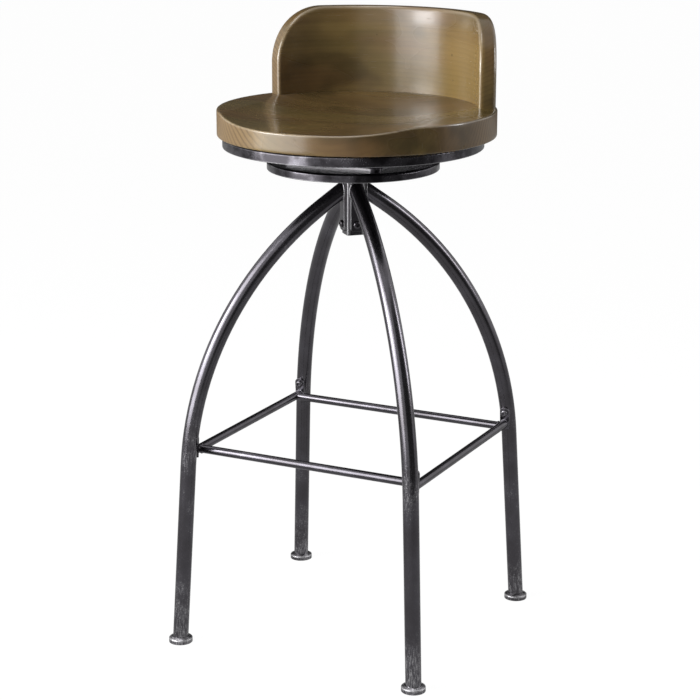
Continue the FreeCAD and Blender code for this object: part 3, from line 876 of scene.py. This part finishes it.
def pale_floor():
    """White to the eye, half as bright in reflections, and pale grey to the lamps."""
    nothing_selected()
    bpy.ops.mesh.primitive_plane_add(size=30, location=(0, 0, 0))
    floor = new_piece("studio_floor")
    finish = new_finish("pale_floor")
    shade = finish.node("ShaderNodeBsdfDiffuse", None, {0: (0.82, 0.82, 0.82)})
    glossy = finish.node("ShaderNodeLightPath", None, None, "Is Glossy Ray")
    white = finish.node("ShaderNodeEmission", None, {0: (1.0, 1.0, 1.0), 1: 1.04 - glossy * 0.54})
    mix = finish.node("ShaderNodeMixShader", None, {0: seen_directly(finish) * 0.94, 1: shade, 2: white})
    floor.data.materials.append(finish.ends_in(mix))


def white_surroundings(level):
    """White to the eye and in reflections, and a dim even light on everything else."""
    world = bpy.data.worlds.new("studio")
    bpy.context.scene.world = world
    finish = Finish(world)
    seen = seen_directly(finish)
    light = finish.node("ShaderNodeBackground", None, {0: (1.0, 1.0, 1.0), 1: seen * (1 - level) + level})
    finish.ends_in(light, "ShaderNodeOutputWorld")


lamps_aim_at = Vector((0, 0, 0.7))


def soft_lamp(name, azimuth, distance, low, high, width, power):
    """A soft box that faces the stool, between two heights. Azimuth as for the camera, power in watts."""
    turn = math.radians(azimuth)
    lamp = bpy.data.lights.new(name, "AREA")
    lamp.shape = "RECTANGLE"
    lamp.size = width
    lamp.size_y = high - low
    lamp.energy = power
    holder = bpy.data.objects.new(name, lamp)
    bpy.context.scene.collection.objects.link(holder)
    place = Vector((math.sin(turn) * distance, -math.cos(turn) * distance, (low + high) / 2))
    holder.location = place
    holder.rotation_mode = "QUATERNION"
    holder.rotation_quaternion = (lamps_aim_at - place).to_track_quat("-Z", "Y")
    holder.visible_camera = False


def dark_screen(name, azimuth, distance, low, high, width, shade):
    """A cloth screen that only shows in reflections, standing square to the stool."""
    turn = math.radians(azimuth)
    nothing_selected()
    bpy.ops.mesh.primitive_plane_add(
        size=1, rotation=(math.radians(90), 0, turn),
        location=(math.sin(turn) * distance, -math.cos(turn) * distance, (low + high) / 2))
    screen = new_piece(name)
    screen.scale = (width, high - low, 1)
    finish = new_finish(name)
    cloth = finish.surface(Base_Color=(0.0, 0.0, 0.0), Roughness=1.0, Specular_IOR_Level=0.0,
                           Emission_Color=(shade, shade, shade), Emission_Strength=1.0)
    screen.data.materials.append(cloth)
    screen.visible_camera = False
    screen.visible_diffuse = False
    screen.visible_transmission = False
    screen.visible_shadow = False


pale_floor()
white_surroundings(0.14)
soft_lamp("front_left_box", azimuth=-38, distance=2.1, low=0.15, high=2.1, width=2.0, power=68)
soft_lamp("upper_left_box", azimuth=-44, distance=2.0, low=0.85, high=1.45, width=0.8, power=21)
soft_lamp("back_right_strip", azimuth=114, distance=1.9, low=0.75, high=1.75, width=0.34, power=11)
soft_lamp("overhead_box", azimuth=-20, distance=0.5, low=2.2, high=2.9, width=1.0, power=9)
dark_screen("screen_behind", azimuth=206, distance=4.0, low=0.05, high=5.5, width=6.5, shade=0.05)
dark_screen("screen_right", azimuth=62, distance=1.5, low=0.0, high=2.6, width=2.2, shade=0.10)

# Camera
view = bpy.data.cameras.new("camera")
view.lens = camera_lens_mm
view.sensor_width = sensor_width_mm
camera = bpy.data.objects.new("camera", view)
bpy.context.scene.collection.objects.link(camera)
turn = Matrix.Rotation(math.radians(camera_azimuth), 4, "Z")
tilt = Matrix.Rotation(math.radians(90 - camera_pitch_down), 4, "X")
roll = Matrix.Rotation(math.radians(camera_roll), 4, "Z")
camera.matrix_world = Matrix.Translation(camera_place) @ turn @ tilt @ roll
bpy.context.scene.camera = camera
bpy.context.scene.view_settings.view_transform = "Standard"
